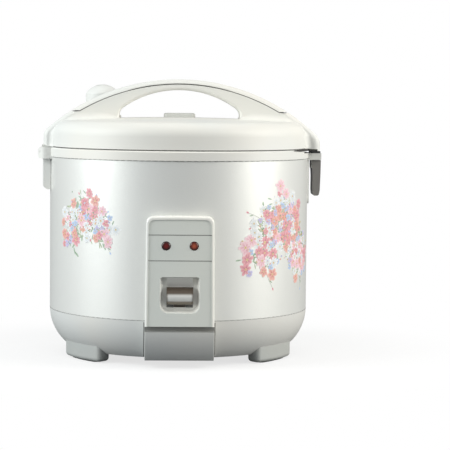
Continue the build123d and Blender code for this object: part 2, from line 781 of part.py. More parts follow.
def above_seam(lift):
    """All that lies above the cap's seam, or above a line a little higher."""
    end = cap_end + lift
    seam_arc = handle_arc - cap_strip + lift
    with BuildPart() as room:
        with BuildSketch(Plane.XZ):
            with BuildLine():
                seam_half = math.sqrt(seam_arc ** 2 - (end - handle_top + handle_arc) ** 2)
                seam = ThreePointArc((-seam_half, end), (0, handle_top - cap_strip + lift), (seam_half, end))
                Polyline(seam @ 1, (side_reach, end), (side_reach, 2 * end), (-side_reach, 2 * end),
                         (-side_reach, end), seam @ 0)
            make_face()
        extrude(amount=2 * ear_half_depth, both=True)
    return room.part


cap_space = above_seam(0)

# A shallow groove runs along the seam, so the cap meets the arch only inside it
with BuildPart() as inside_groove:
    with BuildSketch():
        with BuildLine():
            ends = (-seat_half, seat_half)
            front = ThreePointArc(*plan_arc(ends, -1, cap_groove_depth))
            back = ThreePointArc(*plan_arc(reversed(ends), 1, cap_groove_depth))
            Line(front @ 1, back @ 0)
            Line(back @ 1, front @ 0)
        make_face()
    extrude(amount=2 * handle_top)
    add(cap_space, mode=Mode.INTERSECT)
with BuildPart() as handle_cap:
    add(arch.part)
    add(above_seam(cap_groove) + inside_groove.part, mode=Mode.INTERSECT)
save(handle_cap.part, "handle_cap")

# Lower part of the handle: the arch outside the dome, with the hinge knuckle and the latch pocket
with BuildPart() as handle_arch:
    add(arch.part)
    add(cap_space, mode=Mode.SUBTRACT)
    add(dome(0, lid_low), mode=Mode.SUBTRACT)
    rod(knuckle_radius, (-knuckle_half, knuckle_half), "Y", x=hinge_x, z=hinge_z)
    block((hinge_x - 1, hinge_x + 5), (-knuckle_half, knuckle_half), (hinge_z, lid_low + 2))
    for side in (-1, 1):
        limits = sorted((side * knuckle_half, side * (post_out + 1)))
        rod(post_sweep, limits, "Y", x=hinge_x, z=hinge_z, mode=Mode.SUBTRACT)
    rod(hinge_pin_radius + running_gap, (-post_out, post_out), "Y", x=hinge_x, z=hinge_z, mode=Mode.SUBTRACT)
    block((136, ear_right - 0.5), (-9, 9), (ear_right_low, 222), Mode.SUBTRACT)
save(handle_arch.part, "handle_arch")

# Lid shell: the dome with its screw bosses and the vent boss
boss_top = 239.0
with BuildPart() as lid_shell:
    add(dome(0, lid_low))
    rod(vent_radius + 10, (lid_shoulder - 5, vent_boss_top), "Z", x=vent_x, y=vent_y)
    add(dome(lid_wall, lid_low), mode=Mode.SUBTRACT)
    with PolarLocations(lid_screw_circle, 4, start_angle=45):
        with Locations((0, 0, (lining_low + lining_sheet + boss_top) / 2)):
            Cylinder(3.4, boss_top - lining_low - lining_sheet)
        with Locations((0, 0, lid_screw_top / 2)):
            Cylinder(1.6, lid_screw_top, mode=Mode.SUBTRACT)
    rod(vent_radius, (lid_low, handle_top), "Z", x=vent_x, y=vent_y, mode=Mode.SUBTRACT)
save(lid_shell.part, "lid_shell")

with BuildPart() as lid_catch:
    block((136, hook_back - 1), (-9, 9), (215, 216.5))
save(lid_catch.part, "lid_catch")

with BuildPart() as centre_tab:
    block((-16.5, 16.5), (-9, 9), (lid_crown, lid_crown + 4.5))
    fillet(centre_tab.edges().filter_by(Axis.Z), 4)
    fillet(centre_tab.edges().group_by(Axis.Z)[-1], 2)
save(centre_tab.part, "centre_tab")

# Lid lining, a stepped disc with screw holes, a vent hole and a hole for the stud
lining_top = lining_middle + lining_sheet
with BuildPart() as lid_lining:
    add(turned_solid([
        (0, lining_middle),
        (119.2, lining_middle),
        (119.2, lining_low),
        (130.6, lining_low),
        (130.6, lining_low + lining_sheet),
        (121, lining_low + lining_sheet),
        (121, lining_top),
        (0, lining_top),
    ]))
    with PolarLocations(lid_screw_circle, 4, start_angle=45):
        Cylinder(1.6, 2 * handle_top, mode=Mode.SUBTRACT)
        with Locations((0, 0, lining_low)):
            Cylinder(3.2, 2, mode=Mode.SUBTRACT)
    rod(vent_radius, (lining_low, lining_top), "Z", x=vent_x, y=vent_y, mode=Mode.SUBTRACT)
    rod(3, (lining_low, lining_top), "Z", mode=Mode.SUBTRACT)
save(lid_lining.part, "lid_lining")

with BuildPart() as lid_screws:
    with PolarLocations(lid_screw_circle, 4, start_angle=45):
        with Locations((0, 0, lining_low + 0.5)):
            Cylinder(3.2, 1)
        with Locations((0, 0, (lining_low + 1 + lid_screw_top) / 2)):
            Cylinder(1.6, lid_screw_top - lining_low - 1)
save(lid_screws.part, "lid_screws")

save(disc(80, 30, lining_top, lining_top + 1), "lid_heater")

with BuildPart() as vent_tube:
    rod(vent_radius, (lining_middle, 256), "Z", x=vent_x, y=vent_y)
    rod(vent_radius - 2, (lining_middle, 256), "Z", x=vent_x, y=vent_y, mode=Mode.SUBTRACT)
save(vent_tube.part, "vent_tube")

# Inner lid: a dished plate with steam holes, on a stud with a rubber knob, sealed by a gasket ring
with BuildPart() as inner_lid:
    add(turned_solid([(0, 212.3), (100, 212.3), (106, 215.3), (114, 215.3), (114, 216.3), (105.6, 216.3),
                      (99.6, 213.3), (0, 213.3)]))
    rod(3.2, (212, 214), "Z", mode=Mode.SUBTRACT)
    with Locations((vent_x, vent_y, 212.8)):
        with PolarLocations(5, 6):
            Cylinder(1.8, 4, mode=Mode.SUBTRACT)
save(inner_lid.part, "inner_lid")
save(disc(118, 114, 215.3, lining_middle), "lid_gasket")

with BuildPart() as lid_stud:
    rod(3, (208, lining_top), "Z")
save(lid_stud.part, "lid_stud")

with BuildPart() as inner_lid_knob:
    rod(9, (206, 212.3), "Z")
    fillet(inner_lid_knob.edges().group_by(Axis.Z)[0], 2)
    rod(3, (208, 213), "Z", mode=Mode.SUBTRACT)
save(inner_lid_knob.part, "inner_lid_knob")

# Steam vent cap: a round cap with slots in its top, which lifts off the vent boss
with BuildPart() as steam_cap:
    rod(steam_cap_radius, (vent_boss_top + swing_gap, steam_cap_top), "Z", x=vent_x, y=vent_y)
    with Locations((vent_x, vent_y, steam_cap_top - steam_cap_dome)):
        Sphere(steam_cap_dome, mode=Mode.INTERSECT)
    fillet(steam_cap.edges().filter_by(lambda edge: edge.length > 100).sort_by(Axis.Z)[-1], 2)
    with BuildPart(mode=Mode.SUBTRACT):
        rod(steam_cap_radius - steam_cap_wall, (vent_boss_top, steam_cap_top), "Z", x=vent_x, y=vent_y)
        with Locations((vent_x, vent_y, steam_cap_top - steam_cap_dome)):
            Sphere(steam_cap_dome - steam_cap_wall, mode=Mode.INTERSECT)
    for step in (-5, 0, 5):
        block((vent_x - 7, vent_x + 7), (vent_y + step - 1, vent_y + step + 1), (270, 290), Mode.SUBTRACT)
save(steam_cap.part, "steam_cap")

# Dew collector: a thin crescent cup that hugs the shell below the hinge, with a snap tab
cup_inside = (body_radius + swing_gap + collector_wall, collector_radius - collector_wall)
cup_half = collector_half - collector_wall
with BuildPart() as cup_hollow:
    rod(cup_inside[1], (collector_low + 2, collector_high), "Z")
    block((-side_reach, 0), (-cup_half, cup_half), (collector_low, collector_high), Mode.INTERSECT)
    rod(cup_inside[0], (collector_low, collector_high), "Z", mode=Mode.SUBTRACT)
with BuildPart() as dew_collector:
    rod(collector_radius, (collector_low, collector_high), "Z")
    block((-side_reach, 0), (-collector_half, collector_half), (collector_low, collector_high),
          Mode.INTERSECT)
    rod(body_radius + swing_gap, (collector_low, collector_high), "Z", mode=Mode.SUBTRACT)
    fillet(dew_collector.edges().group_by(Axis.Z)[0].filter_by(GeomType.CIRCLE).sort_by(SortBy.RADIUS)[-1], 5)
    add(cup_hollow.part, mode=Mode.SUBTRACT)
    block((-body_radius - 0.8, -131), (-6, 6), (186, 189))
save(dew_collector.part, "dew_collector")
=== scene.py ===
# %% [markdown]
# A rice cooker, dressed in Blender.
# The machine itself (shell, lid, lever, pot, screws) comes in as a fixed frame of solid pieces in metres.
# This lesson gives every piece its finish, adds the soft blends and the printed blossoms that a solid
# modeller is poor at, and sets up a small studio to look at it.

# %% Load the frame
import json
import math
import random

import bmesh
import bpy
from mathutils import Matrix, Vector


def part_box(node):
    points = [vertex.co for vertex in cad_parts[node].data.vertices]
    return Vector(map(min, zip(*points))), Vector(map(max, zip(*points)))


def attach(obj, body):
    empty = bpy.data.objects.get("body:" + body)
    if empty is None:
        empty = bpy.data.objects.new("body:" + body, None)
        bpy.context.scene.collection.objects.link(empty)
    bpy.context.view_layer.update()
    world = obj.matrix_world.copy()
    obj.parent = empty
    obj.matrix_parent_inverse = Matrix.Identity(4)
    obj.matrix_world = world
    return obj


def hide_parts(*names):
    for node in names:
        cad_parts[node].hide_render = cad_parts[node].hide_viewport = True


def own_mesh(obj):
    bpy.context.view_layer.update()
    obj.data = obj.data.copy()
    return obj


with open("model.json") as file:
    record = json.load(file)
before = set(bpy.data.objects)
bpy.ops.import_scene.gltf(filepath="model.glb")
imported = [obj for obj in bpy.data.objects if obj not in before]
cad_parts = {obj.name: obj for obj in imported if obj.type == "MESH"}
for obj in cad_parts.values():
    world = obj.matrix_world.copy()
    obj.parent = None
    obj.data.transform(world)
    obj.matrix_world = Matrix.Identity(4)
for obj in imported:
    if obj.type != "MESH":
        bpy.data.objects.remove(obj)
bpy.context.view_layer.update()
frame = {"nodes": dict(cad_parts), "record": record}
nodes = frame["nodes"]

# %% [markdown]
# Shader maths is easier to read as a formula than as a picture of nodes.
# A Wire is one socket of a node tree. Adding or multiplying wires adds the Math node that does it, and the
# reflected forms let a plain number stand on the left, as in 1 - mask.


# %% Wires
class Wire:
    """One socket, with the arithmetic that is used on it."""

    def __init__(self, graph, socket):
        self.graph = graph
        self.socket = socket

    def math(self, operation, first, second):
        return self.graph.node("ShaderNodeMath", {"operation": operation}, {0: first, 1: second})

    def __add__(self, other):
        return self.math("ADD", self, other)

    def __sub__(self, other):
        return self.math("SUBTRACT", self, other)

    def __rsub__(self, other):
        return self.math("SUBTRACT", other, self)

    def __mul__(self, other):
        return self.math("MULTIPLY", self, other)

    def __truediv__(self, other):
        return self.math("DIVIDE", self, other)

    __radd__ = __add__
    __rmul__ = __mul__

    def size(self):
        """The number without its sign."""
        return self.math("ABSOLUTE", self, 0.0)

    def clip(self, low, high):
        """Nought below low, one above high, and a smooth ramp between them."""
        ends = {"Value": self, "From Min": low, "From Max": high}
        return self.graph.node("ShaderNodeMapRange", {"interpolation_type": "SMOOTHSTEP"}, ends)


class Graph:
    """A tree of shader nodes, and one method that adds any node to it."""

    def __init__(self, tree):
        self.tree = tree

    def feed(self, socket, value):
        if isinstance(value, Wire):
            self.tree.links.new(value.socket, socket)
        elif socket.type == "RGBA":
            socket.default_value = (*value, 1.0)
        else:
            socket.default_value = value

    def node(self, kind, settings=None, inputs=None, out=0):
        made = self.tree.nodes.new(kind)
        for key, value in (settings or {}).items():
            setattr(made, key, value)
        for key, value in (inputs or {}).items():
            self.feed(made.inputs[key], value)
        return Wire(self, made.outputs[out])


print("wires ready")

# %% [markdown]
# A Finish is one material. It starts from Blender's Principled shader, and its few methods are the ones
# that the cooker's finishes share: a blend of two colours, the place of a point, noise and bump.


# %% Finishes
class Finish(Graph):
    """A material, fed through its Principled shader."""

    def __init__(self, name):
        self.material = bpy.data.materials.new(name)
        self.material.use_nodes = True
        super().__init__(self.material.node_tree)
        self.shader = self.tree.nodes["Principled BSDF"]

    def mix(self, factor, first, second):
        """Blend two colours."""
        return self.node("ShaderNodeMix", {"data_type": "RGBA"}, {0: factor, 6: first, 7: second}, out=2)

    def place(self):
        """Where a point lies on the object, in metres."""
        return self.node("ShaderNodeTexCoord", out="Object")

    def scaled(self, spot, factors):
        return self.node("ShaderNodeVectorMath", {"operation": "MULTIPLY"}, {0: spot, 1: factors})

    def reach(self, spot, axes):
        """How far a place is from the origin, counting only the axes that are marked with a one."""
        flat = self.scaled(spot, axes)
        return self.node("ShaderNodeVectorMath", {"operation": "LENGTH"}, {0: flat}, out="Value")

    def noise(self, scale, detail=2.0, spot=None):
        where = spot or self.place()
        return self.node("ShaderNodeTexNoise", None, {"Vector": where, "Scale": scale, "Detail": detail})

    def cells(self, scale, out):
        """A Voronoi pattern of small cells."""
        return self.node("ShaderNodeTexVoronoi", None, {"Vector": self.place(), "Scale": scale}, out=out)

    def bump(self, height, depth):
        return self.node("ShaderNodeBump", None, {"Height": height, "Distance": depth})

    def set(self, **values):
        for name, value in values.items():
            self.feed(self.shader.inputs[name.replace("_", " ")], value)
        return self.material


print("finish helper ready")

# %% [markdown]
# The white mouldings are satin ABS. Flat white looks like chalk, so three small things are added: a slow
# drift of warmth, a little unevenness in gloss, and the fine spark-eroded grain of the mould as bump.

# %% Moulded plastic
WARMTH_SCALE, GRAIN_SCALE = 9.0, 1900.0


def moulded(name, colour, rough=0.34, grain=0.00003, drift=0.03):
    finish = Finish(name)
    slow = finish.noise(WARMTH_SCALE)
    fine = finish.noise(GRAIN_SCALE, 3.0)
    shade = tuple(v * (1 - drift) for v in colour)
    warm = (min(colour[0] * (1 + drift), 1), colour[1], colour[2] * (1 - drift))
    return finish.set(
        Base_Color=finish.mix(slow.clip(0.35, 0.65), shade, warm),
        Roughness=rough - 0.06 + 0.12 * fine + 0.05 * slow,
        Normal=finish.bump(fine, grain),
    )


cream = moulded("cream_plastic", (0.76, 0.765, 0.735))
# The next copies are the same white plastic at another brightness for how the light falls on each: the panel
# frame's is lighter, painted light in its shaded recess, and the lid's, base's, centre tab's and feet's are
# darker, painted shade. The lid's and the base's are also a little greener of their own.
panel_cream_painted_light = moulded("panel_plastic_painted_light", (0.83, 0.84, 0.81))
lid_cream_painted_shade = moulded("lid_plastic_painted_shade", (0.725, 0.735, 0.71), rough=0.46)
base_cream_painted_shade = moulded("base_plastic_painted_shade", (0.66, 0.672, 0.66), rough=0.36)
foot_cream_painted_shade = moulded("foot_plastic_painted_shade", (0.43, 0.45, 0.44), rough=0.40)
tab_cream_painted_shade = moulded("tab_plastic_painted_shade", (0.58, 0.60, 0.585), rough=0.45)
milky = moulded("milky_plastic", (0.80, 0.81, 0.79), rough=0.28)
face_grey = moulded("panel_grey", (0.69, 0.72, 0.685), rough=0.46, grain=0.00006, drift=0.02)
grip_dark = moulded("latch_grey", (0.22, 0.21, 0.20), rough=0.30, grain=0.00008)
board_green = moulded("board_resin", (0.05, 0.16, 0.09), rough=0.5)
bulb = moulded("bulb_glass", (0.80, 0.62, 0.50), rough=0.08, grain=0.00001)
print("plastics and bulb glass made, from", cream.name, "to", bulb.name)

# %% [markdown]
# The shell is sheet steel with a pearl paint: tiny mica flakes under a clear coat.
# The flakes are the cells of a fine Voronoi pattern, which nudge both the gloss and the tone, and a
# faint orange peel lies in the coat. It is partly metallic, so it picks up the light on each side.

# %% Pearl paint
FLAKE_SCALE, PEEL_SCALE, TINT_SCALE = 1500.0, 260.0, 6.0


def pearl_paint():
    finish = Finish("pearl_paint")
    spark = finish.node("ShaderNodeSeparateColor", None, {"Color": finish.cells(FLAKE_SCALE, "Color")})
    tone = finish.mix(0.35 + 0.3 * spark, (0.735, 0.745, 0.725), (0.82, 0.825, 0.80))
    return finish.set(
        Base_Color=finish.mix(0.12 * finish.noise(TINT_SCALE), tone, (0.86, 0.83, 0.74)),
        Metallic=0.24 + 0.20 * spark,
        Roughness=0.40 + 0.10 * spark,
        Coat_Weight=0.35,
        Coat_Roughness=0.22,
        Normal=finish.bump(finish.noise(PEEL_SCALE), 0.00002),
    )


pearl = pearl_paint()
print("paint made:", pearl.name)

# %% [markdown]
# Bare metal is told apart by how it was worked. Spun parts carry rings about the axis, so their brush
# pattern runs on the distance from the axis; drawn and rolled parts carry straight lines. A brush line is
# noise that is drawn out along one axis.

# %% Metals
LINE_SCALE, STAIN_SCALE = 700.0, 14.0
DRAWN_OUT = (0.03, 1.0, 1.0)


def worked_metal(name, colour, rough, spun=False):
    finish = Finish(name)
    if spun:
        along = finish.node("ShaderNodeCombineXYZ", None, {"X": finish.reach(finish.place(), (1, 1, 0))})
    else:
        along = finish.scaled(finish.place(), DRAWN_OUT)
    scratch = finish.noise(LINE_SCALE, 3.0, along)
    dull = tuple(v * 0.82 for v in colour)
    return finish.set(
        Base_Color=finish.mix(scratch.clip(0.3, 0.7), dull, colour),
        Metallic=1.0,
        Roughness=rough - 0.08 + 0.18 * scratch + 0.06 * finish.noise(STAIN_SCALE),
        Normal=finish.bump(scratch, 0.00002),
    )


aluminium = worked_metal("spun_aluminium", (0.80, 0.80, 0.81), 0.34, spun=True)
steel = worked_metal("plated_steel", (0.58, 0.58, 0.59), 0.36)
brass = worked_metal("contact_brass", (0.74, 0.62, 0.36), 0.3)
print("metals made:", aluminium.name, steel.name, brass.name)

# %% [markdown]
# The cook lever's colour carries a painted reflection: a painted highlight band along its middle, and
# painted dark brown reflection towards its edges. The tone follows the height on the knob, from nought at
# its foot to one at its crown, and is darkened near both ends as painted shade.

# %% Cook lever
LEVER_LOW, LEVER_HIGH = 0.0647, 0.0821
LEVER_END_SHADE_FROM, LEVER_END_SHADE_TO = 0.0108, 0.0130
LEVER_LINE_SCALE = 900.0


def lever_painted_reflection():
    finish = Finish("lever_silver")
    spot = finish.place()
    sideways = finish.node("ShaderNodeSeparateXYZ", None, {0: spot}, out="X")
    height = finish.node("ShaderNodeSeparateXYZ", None, {0: spot}, out="Z")
    up = (height - LEVER_LOW) / (LEVER_HIGH - LEVER_LOW)
    scratch = finish.noise(LEVER_LINE_SCALE, 3.0, finish.scaled(finish.place(), DRAWN_OUT))
    # Painted reflection: the highlight band, the dark brown reflection above and below it, and painted shade
    # at both ends.
    band = up.clip(0.16, 0.28) * (1 - up.clip(0.52, 0.70))
    end = sideways.size().clip(LEVER_END_SHADE_FROM, LEVER_END_SHADE_TO)
    reflected_brown = finish.mix(up.clip(0.1, 0.95), (0.30, 0.26, 0.215), (0.10, 0.075, 0.055))
    tone = finish.mix(band, reflected_brown, (0.93, 0.92, 0.88))
    return finish.set(
        Base_Color=finish.mix(0.75 * end, tone, (0.10, 0.08, 0.06)),
        Metallic=0.35,
        Roughness=0.30 + 0.15 * scratch,
        Normal=finish.bump(scratch, 0.00002),
    )


lever_silver = lever_painted_reflection()
print("lever plating from", LEVER_LOW, "to", LEVER_HIGH, "m")

# %% [markdown]
# Rubber is nearly black or grey, with a dull dusty bloom. The lamps are moulded lenses: dark red when they
# are off, with a painted glow in their colour, a lighter heart where the little bulb behind them shows
# through.

# %% Rubber and lamps
DUST_SCALE, FACET_SCALE = 220.0, 700.0
PAINTED_GLOW_FROM, PAINTED_GLOW_TO = 0.0005, 0.0036


def rubber(name, colour):
    finish = Finish(name)
    dust = finish.noise(DUST_SCALE, 4.0)
    pale = tuple(v * 0.8 + 0.06 for v in colour)
    return finish.set(
        Base_Color=finish.mix(0.6 * dust, colour, pale),
        Roughness=0.62 + 0.2 * dust,
        Normal=finish.bump(dust, 0.00005),
    )


def lamp_lens(name, rim_colour, painted_glow_colour, node):
    finish = Finish(name)
    low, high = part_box(node)
    heart = (low + high) / 2
    middle = (heart.x, 0.0, heart.z)
    spot = finish.node("ShaderNodeVectorMath", {"operation": "SUBTRACT"}, {0: finish.place(), 1: middle})
    # Painted glow: the lens colour lightens towards its heart.
    painted_glow = 1 - finish.reach(spot, (1, 0, 1)).clip(PAINTED_GLOW_FROM, PAINTED_GLOW_TO)
    facet = finish.cells(FACET_SCALE, "Distance")
    return finish.set(
        Base_Color=finish.mix(painted_glow, rim_colour, painted_glow_colour),
        Roughness=0.10 + 0.1 * facet,
        Coat_Weight=0.5,
        Normal=finish.bump(facet, 0.00004),
    )


seal_grey = rubber("seal_rubber", (0.50, 0.50, 0.48))
pad_black = rubber("pad_rubber", (0.04, 0.04, 0.042))
wire_white = rubber("wire_sleeve", (0.72, 0.72, 0.70))
lens_cook = lamp_lens("lens_dark_red", (0.045, 0.004, 0.004), (0.17, 0.012, 0.010), "lamp_lens_cook")
lens_warm = lamp_lens("lens_amber_red", (0.09, 0.010, 0.006), (0.42, 0.090, 0.045), "lamp_lens_warm")
print("rubbers and lenses made, the last is", lens_warm.name)

# %% [markdown]
# Now the finishes are handed out. The record names a slot for every piece, such as aluminium or dark
# grip, and most pieces simply take the finish of their slot. A few white mouldings take a copy of the white
# plastic that is lighter, as painted light, for the panel frame, and darker, as painted shade, for the lid,
# base, apron, centre tab and feet, so these are named one by one.

# %% Hand out the finishes
slot_finish = {
    "white_plastic": cream, "clear_white": milky, "pearl_paint": pearl, "grey_face": face_grey,
    "dark_grip": grip_dark, "lever_silver": lever_silver, "lamp_red": lens_cook, "lamp_amber": lens_warm,
    "aluminium": aluminium, "plain_steel": steel, "brass_contact": brass, "seal_rubber": seal_grey,
    "pad_rubber": pad_black, "electrics": board_green, "bulb_glass": bulb, "wire_cover": wire_white,
}
lighter_and_darker_whites = (
    (lid_cream_painted_shade, ("lid_shell", "handle_arch", "handle_cap", "steam_cap")),
    (tab_cream_painted_shade, ("centre_tab",)),
    (panel_cream_painted_light, ("panel_frame",)),
    (base_cream_painted_shade, ("panel_apron", "base_bowl")),
    (foot_cream_painted_shade, ("foot_front_left", "foot_front_right", "foot_rear_left", "foot_rear_right")),
)
node_finish = {name: finish for finish, names in lighter_and_darker_whites for name in names}
for entry in frame["record"]["subparts"]:
    materials = nodes[entry["node"]].data.materials
    materials.clear()
    materials.append(node_finish.get(entry["node"], slot_finish[entry["material_slot"]]))
print("finishes on", len(nodes), "pieces")

# %% [markdown]
# The camera stands almost two metres in front, a little to the left of the panel's middle and slightly
# above the lid, with a long lens. It is turned and tilted rather than shifted, and rolled by half a
# degree.

# %% Camera
FRAME_PIXELS = 450
AXIS_PIXEL = 178.5
HORIZON_PIXEL = 95.8
FOCAL_PIXELS = 1795.0
SENSOR = 36.0
CAMERA_DISTANCE, CAMERA_HEIGHT = 1.890, 0.270
CAMERA_SIDE = math.radians(0.7)
ROLL = math.radians(0.55)
LEVEL = math.radians(90)
yaw = CAMERA_SIDE + math.atan((FRAME_PIXELS / 2 - AXIS_PIXEL) / FOCAL_PIXELS)
pitch = math.atan((FRAME_PIXELS / 2 - HORIZON_PIXEL) / FOCAL_PIXELS)

camera_data = bpy.data.cameras.new("camera")
camera_data.sensor_width = SENSOR
camera_data.lens = FOCAL_PIXELS * SENSOR / FRAME_PIXELS
camera = bpy.data.objects.new("camera", camera_data)
bpy.context.collection.objects.link(camera)
camera.location = (
    -CAMERA_DISTANCE * math.sin(CAMERA_SIDE),
    -CAMERA_DISTANCE * math.cos(CAMERA_SIDE),
    CAMERA_HEIGHT,
)
aim = Matrix.Rotation(-yaw, 3, "Z") @ Matrix.Rotation(LEVEL - pitch, 3, "X")
camera.rotation_euler = (aim @ Matrix.Rotation(ROLL, 3, "Z")).to_euler()
bpy.context.scene.camera = camera
print("lens", round(camera_data.lens, 1), "mm")
print("yaw", round(math.degrees(yaw), 2), "pitch", round(math.degrees(pitch), 2))

# %% [markdown]
# The studio has a cool softbox on the left, a warm one on the right and a weak one overhead. Nothing
# shines from the camera's side, so the round shell stays greyer in its middle. The air around is a mild
# grey that fills the shadows, and only the camera sees it as white paper.

# %% Studio lights
SIDE_BOX, TOP_BOX = (1.2, 1.5), (1.6, 1.6)


def softbox(name, place, target, size, power, colour):
    light = bpy.data.lights.new(name, "AREA")
    light.shape = "RECTANGLE"
    light.size, light.size_y = size
    light.energy = power
    light.color = colour
    box = bpy.data.objects.new(name, light)
    bpy.context.collection.objects.link(box)
    box.location = place
    box.rotation_euler = (Vector(target) - Vector(place)).to_track_quat("-Z", "Y").to_euler()


softbox("left_box", (-1.70, -0.58, 0.90), (0, 0, 0.15), SIDE_BOX, 39, (0.965, 1.0, 0.995))
softbox("right_box", (1.70, -0.52, 0.90), (0, 0, 0.15), SIDE_BOX, 38, (1.0, 0.985, 0.93))
softbox("top_box", (0, 0.2, 1.9), (0, 0, 0.1), TOP_BOX, 4, (1.0, 1.0, 1.0))

world = bpy.data.worlds.new("studio_air")
bpy.context.scene.world = world
world.use_nodes = True
air = Graph(world.node_tree)
grey = air.node("ShaderNodeBackground", None, {"Color": (0.62, 0.63, 0.64), "Strength": 0.62})
paper = air.node("ShaderNodeBackground", None, {"Color": (1, 1, 1), "Strength": 1.0})
seen = air.node("ShaderNodeLightPath", out="Is Camera Ray")
either = air.node("ShaderNodeMixShader", None, {0: seen, 1: grey, 2: paper})
air.feed(air.tree.nodes["World Output"].inputs["Surface"], either)
bpy.context.scene.view_settings.view_transform = "Standard"
print("lights:", [light.name for light in bpy.data.lights])

# %% [markdown]
# Everything from here on is built from a bmesh, Blender's editable mesh. One helper turns a bmesh into an
# object. The first is the floor: it is pale, goes to plain white away from the cooker for the camera, and
# keeps the shadow near the feet.

# %% Floor
FLOOR_RADIUS, MOTTLE_SCALE = 6.0, 3.0
SHADOW_FROM, SHADOW_TO = 0.16, 0.34


def to_object(name, mesh, finish):
    data = bpy.data.meshes.new(name)
    mesh.to_mesh(data)
    mesh.free()
    data.materials.append(finish)
    made = bpy.data.objects.new(name, data)
    bpy.context.collection.objects.link(made)
    return made


def floor_finish():
    finish = Finish("studio_floor")
    white = finish.node("ShaderNodeEmission", None, {"Color": (1, 1, 1), "Strength": 1.0})
    seen = finish.node("ShaderNodeLightPath", out="Is Camera Ray")
    pale = finish.mix(finish.noise(MOTTLE_SCALE), (0.86, 0.86, 0.86), (0.90, 0.90, 0.90))
    finish.set(Base_Color=finish.mix(seen, (0.16, 0.17, 0.18), pale), Roughness=0.8)
    away = finish.reach(finish.place(), (1, 1, 0)).clip(SHADOW_FROM, SHADOW_TO)
    shaded = Wire(finish, finish.shader.outputs[0])
    blend = finish.node("ShaderNodeMixShader", None, {0: seen * (0.72 + 0.28 * away), 1: shaded, 2: white})
    finish.feed(finish.tree.nodes["Material Output"].inputs["Surface"], blend)
    return finish.material


disc = bmesh.new()
bmesh.ops.create_circle(disc, cap_ends=True, segments=96, radius=FLOOR_RADIUS)
floor = to_object("floor", disc, floor_finish())
print("floor", 2 * FLOOR_RADIUS, "m across")

# %% [markdown]
# The pieces to come share one way of building: a row of sections, each a closed ring of points, with
# faces between neighbouring sections. The row is closed into a ring, or has a lid at both ends, so every
# piece is a closed solid. Each rides on the body that it is fixed to, so that it moves with the lid or
# stays with the shell.

# %% From sections to a piece
UP, FRONT = Vector((0, 0, 1)), Vector((0, -1, 0))


def skin(mesh, sections, looped=False, smooth=0):
    """Faces between neighbouring sections. The first few faces round each section can be smooth."""
    count = len(sections[0])
    following = sections[1:] + sections[:1] if looped else sections[1:]
    for near, far in zip(sections, following):
        for k in range(count):
            after = (k + 1) % count
            mesh.faces.new((near[k], near[after], far[after], far[k])).smooth = k < smooth
    if not looped:
        mesh.faces.new(sections[0])
        mesh.faces.new(sections[-1])


def riding_piece(name, mesh, finish, body):
    bmesh.ops.recalc_face_normals(mesh, faces=mesh.faces)
    piece = to_object(name, mesh, finish)
    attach(piece, body)
    print(name, "rides on", body, "with", len(piece.data.polygons), "faces")
    return piece


print("piece helpers ready, up is", tuple(UP))

# %% [markdown]
# On the real lid the handle is moulded in one with the dome, so its sides run out into the dome in a soft
# hollow. The frame has a crisp corner there. To lay the hollow in, we need the lid's shape as formulas: a
# shallow dome, a rounded shoulder, a skirt that is nearly upright, and an arched handle that widens
# towards its ears.

# %% Shape of the lid, in metres
CROWN, SHOULDER, SHOULDER_REACH = 0.2470, 0.2434, 0.118
ROUND, ROUND_REACH = 0.2394, 0.1288
SKIRT, SKIRT_REACH, SKIRT_LEAN = 0.2295, 0.1332, 0.06
LID_LOW, LID_REACH = 0.2159, 0.134
HANDLE_TOP, HANDLE_ARC, CREST_ROUND = 0.2867, 0.208, 0.006
HANDLE_HALF, EAR_HALF, EAR_REACH = 0.017, 0.027, 0.1485
BLEND_START = 0.0655
DOME_STEPS, ROUND_STEPS, SKIRT_STEPS = 40, 30, 12


def circle_through(first, second, third):
    """Centre and radius of the circle through three points of a profile."""
    (ax, ay), (bx, by), (cx, cy) = first, second, third
    d = 2 * (ax * (by - cy) + bx * (cy - ay) + cx * (ay - by))
    a, b, c = ax * ax + ay * ay, bx * bx + by * by, cx * cx + cy * cy
    centre = Vector(((a * (by - cy) + b * (cy - ay) + c * (ay - by)) / d,
                     (a * (cx - bx) + b * (ax - cx) + c * (bx - ax)) / d))
    return centre, (Vector(first) - centre).length


def dome_profile(start):
    """Points down the dome from a distance off the axis, each with the direction it faces."""
    bend = SHOULDER_REACH ** 2 / (2 * (CROWN - SHOULDER))
    points = []
    for i in range(DOME_STEPS):
        r = start + (SHOULDER_REACH - start) * i / DOME_STEPS
        points.append((Vector((r, CROWN - r * r / (2 * bend))), Vector((r / bend, 1)).normalized()))
    top, middle, end = (SHOULDER_REACH, SHOULDER), (ROUND_REACH, ROUND), (SKIRT_REACH, SKIRT)
    heart, radius = circle_through(top, middle, end)
    high = math.atan2(SHOULDER - heart.y, SHOULDER_REACH - heart.x)
    low = math.atan2(SKIRT - heart.y, SKIRT_REACH - heart.x)
    for i in range(ROUND_STEPS):
        a = high + (low - high) * i / ROUND_STEPS
        facing = Vector((math.cos(a), math.sin(a)))
        points.append((heart + radius * facing, facing))
    outward = Vector((1, SKIRT_LEAN)).normalized()
    for i in range(SKIRT_STEPS + 1):
        points.append((Vector(end).lerp(Vector((LID_REACH, LID_LOW)), i / SKIRT_STEPS), outward))
    return points


def handle_half(x):
    """Half of the handle's breadth at a distance from the middle."""
    bow = (EAR_REACH ** 2 + (EAR_HALF - HANDLE_HALF) ** 2) / (2 * (EAR_HALF - HANDLE_HALF))
    return HANDLE_HALF + bow - math.sqrt(bow * bow - x * x)


def crest(x):
    """Height of the handle's top at a distance from the middle."""
    return HANDLE_TOP - HANDLE_ARC + math.sqrt(HANDLE_ARC ** 2 - x * x)


